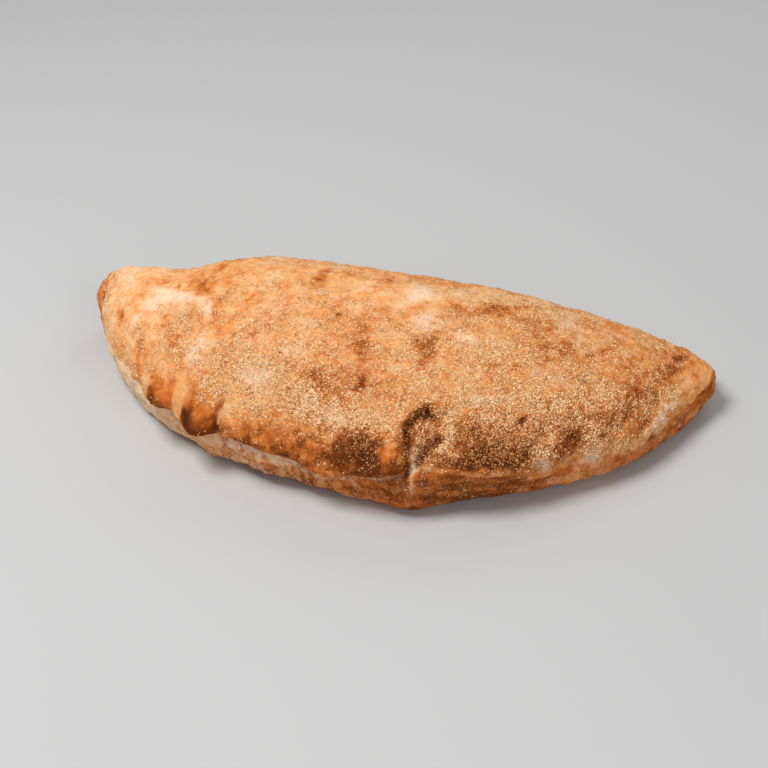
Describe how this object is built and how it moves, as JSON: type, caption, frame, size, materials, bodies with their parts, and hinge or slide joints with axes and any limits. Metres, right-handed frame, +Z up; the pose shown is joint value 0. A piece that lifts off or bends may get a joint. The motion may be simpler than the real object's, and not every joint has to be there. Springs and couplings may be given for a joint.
{
  "type": "calzone",
  "caption": "Baked half-moon calzone: plump domed crust with a folded back, tucked and pleated front edge, blunt tips and a flat base to rest on.",
  "frame": {"origin": "middle of the flat base, at the centre of the plan box, on the surface it rests on", "axes": "+X along the straight back fold towards the beak-shaped right tip; -Y towards the tucked, pointed front edge; +Z up"},
  "size_m": [0.313, 0.1436, 0.061],
  "materials": {
    "crust": "baked dough, matt to faintly satin: golden tan on top, deep brown blisters along the front, pale where it was tucked under",
    "semolina": "coarse pale semolina grains baked onto the crust",
    "toasted_meal": "toasted and charred grains of meal, matt brown"
  },
  "bodies": {
    "root": {"calzone": "crust"}
  },
  "joints": []
}
